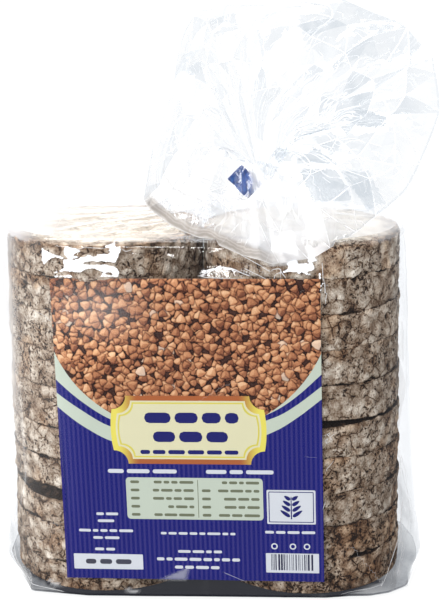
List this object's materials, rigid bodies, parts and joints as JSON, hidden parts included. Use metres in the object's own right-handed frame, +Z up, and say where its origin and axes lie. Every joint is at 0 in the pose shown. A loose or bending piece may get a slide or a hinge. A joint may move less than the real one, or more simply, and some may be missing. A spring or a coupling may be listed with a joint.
{
  "type": "bag of puffed buckwheat cakes",
  "caption": "Sealed clear film bag of round puffed buckwheat cakes in two upright stacks, with a printed front label, a taped neck and a flared tail of spare film.",
  "frame": {"origin": "on the surface that the bag stands on, midway between the two stacks of cakes", "axes": "+Z up, +X to the right as seen from the label side, -Y out of the labelled front"},
  "size_m": [0.2009, 0.1047, 0.266],
  "materials": {
    "film": "clear crumpled film",
    "cake": "puffed grain, matte, cream grey with brown flecks",
    "print": "satin printed paper",
    "tape": "blue adhesive tape"
  },
  "bodies": {
    "root": {"bag": "film", "label": "print", "neck_tape": "tape"}
  },
  "joints": []
}
